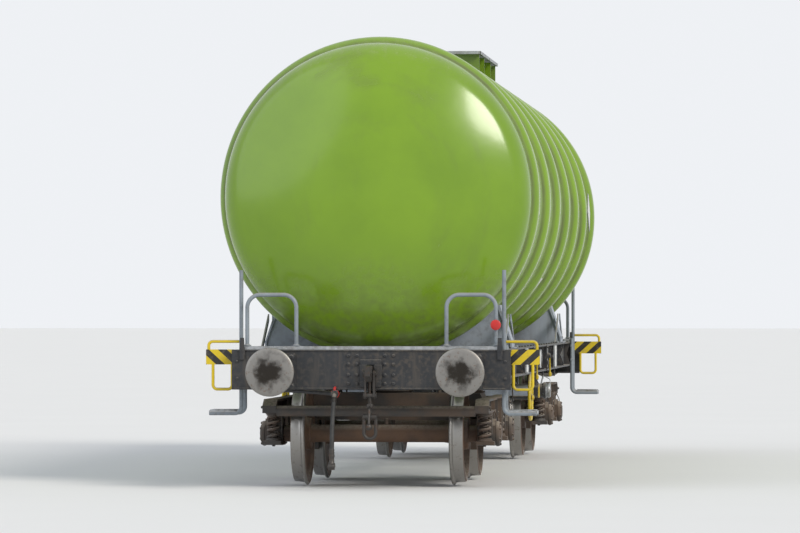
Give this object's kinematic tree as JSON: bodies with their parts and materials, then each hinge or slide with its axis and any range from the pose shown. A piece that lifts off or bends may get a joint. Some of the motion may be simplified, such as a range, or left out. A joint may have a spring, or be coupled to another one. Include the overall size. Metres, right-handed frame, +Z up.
{
  "type": "railway tank car",
  "caption": "Bogie tank wagon with a long ribbed cylindrical tank on a welded frame, side buffers and swivelling bogies.",
  "frame": {"origin": "under the middle of the wagon, level with the lowest point of the wheel flanges", "axes": "+X along the wagon to its front end, +Y to its left side, +Z up"},
  "size_m": [13.4, 3.12, 4.3248],
  "materials": {
    "green_paint": "gloss, lightly soiled",
    "dark_paint": "dusty satin",
    "grey_paint": "dusty satin",
    "pale_paint": "worn satin",
    "yellow_paint": "worn satin",
    "stripe_paint": "satin, striped with black",
    "galvanised_steel": "dull grating",
    "bare_steel": "greasy satin",
    "hose_rubber": "matt",
    "cast_steel": "rusty and dusty"
  },
  "bodies": {
    "root": {"tank_shell": "green_paint", "manhole_neck": "green_paint", "top_valves": "bare_steel", "manhole_walkways": "galvanised_steel", "crown_walkway": "galvanised_steel", "walkway_brackets": "galvanised_steel", "end_ladder": "galvanised_steel", "side_sill_right": "dark_paint", "side_sill_left": "dark_paint", "centre_sills": "dark_paint", "cross_members": "dark_paint", "headstock_rear": "dark_paint", "headstock_front": "dark_paint", "body_bolsters": "dark_paint", "saddle_rear": "grey_paint", "saddle_front": "grey_paint", "saddle_braces": "grey_paint", "end_platforms": "galvanised_steel", "end_handrails": "pale_paint", "corner_steps": "pale_paint", "striped_boards": "stripe_paint", "shunter_grips": "yellow_paint", "buffer_housings": "dark_paint", "buffer_heads": "bare_steel", "draw_hooks": "cast_steel", "screw_couplings": "cast_steel", "brake_pipe": "dark_paint", "air_reservoir": "dark_paint", "reservoir_hangers": "dark_paint", "brake_cylinder": "dark_paint", "outlet_pipe": "dark_paint", "outlet_valves": "dark_paint", "outlet_caps": "bare_steel", "brake_hose_rear": "hose_rubber", "brake_hose_front": "hose_rubber", "hose_head_rear": "cast_steel", "hose_head_front": "cast_steel", "hand_brake_wheels": "dark_paint"},
    "manhole_lid": {"manhole_lid": "green_paint"},
    "bogie_rear": {"bogie_side_rear_right": "dark_paint", "bogie_side_rear_left": "dark_paint", "bogie_transom_rear": "dark_paint", "bogie_head_beams_rear": "dark_paint", "axleboxes_rear": "cast_steel", "springs_rear": "dark_paint", "brake_beams_rear": "dark_paint", "side_bearers_rear": "dark_paint"},
    "bogie_front": {"bogie_side_front_right": "dark_paint", "bogie_side_front_left": "dark_paint", "bogie_transom_front": "dark_paint", "bogie_head_beams_front": "dark_paint", "axleboxes_front": "cast_steel", "springs_front": "dark_paint", "brake_beams_front": "dark_paint", "side_bearers_front": "dark_paint"},
    "wheelset_1": {"wheelset_1": "cast_steel"},
    "wheelset_2": {"wheelset_2": "cast_steel"},
    "wheelset_3": {"wheelset_3": "cast_steel"},
    "wheelset_4": {"wheelset_4": "cast_steel"}
  },
  "joints": [
    {"name": "manhole_lid_hinge", "type": "hinge", "parent": "root", "child": "manhole_lid", "pos_m": [-1.1915, 0, 4.276], "axis": [0, -1, 0], "range_deg": [0, 110]},
    {"name": "bogie_rear_swivel", "type": "hinge", "parent": "root", "child": "bogie_rear", "pos_m": [-4.18, 0, 0.915], "axis": [0, 0, 1], "range_deg": [-7, 7]},
    {"name": "bogie_front_swivel", "type": "hinge", "parent": "root", "child": "bogie_front", "pos_m": [4.18, 0, 0.915], "axis": [0, 0, 1], "range_deg": [-7, 7]},
    {"name": "wheelset_1_spin", "type": "hinge", "parent": "bogie_rear", "child": "wheelset_1", "pos_m": [-5.08, 0, 0.488], "axis": [0, 1, 0], "continuous": true},
    {"name": "wheelset_2_spin", "type": "hinge", "parent": "bogie_rear", "child": "wheelset_2", "pos_m": [-3.28, 0, 0.488], "axis": [0, 1, 0], "continuous": true},
    {"name": "wheelset_3_spin", "type": "hinge", "parent": "bogie_front", "child": "wheelset_3", "pos_m": [3.28, 0, 0.488], "axis": [0, 1, 0], "continuous": true},
    {"name": "wheelset_4_spin", "type": "hinge", "parent": "bogie_front", "child": "wheelset_4", "pos_m": [5.08, 0, 0.488], "axis": [0, 1, 0], "continuous": true}
  ]
}
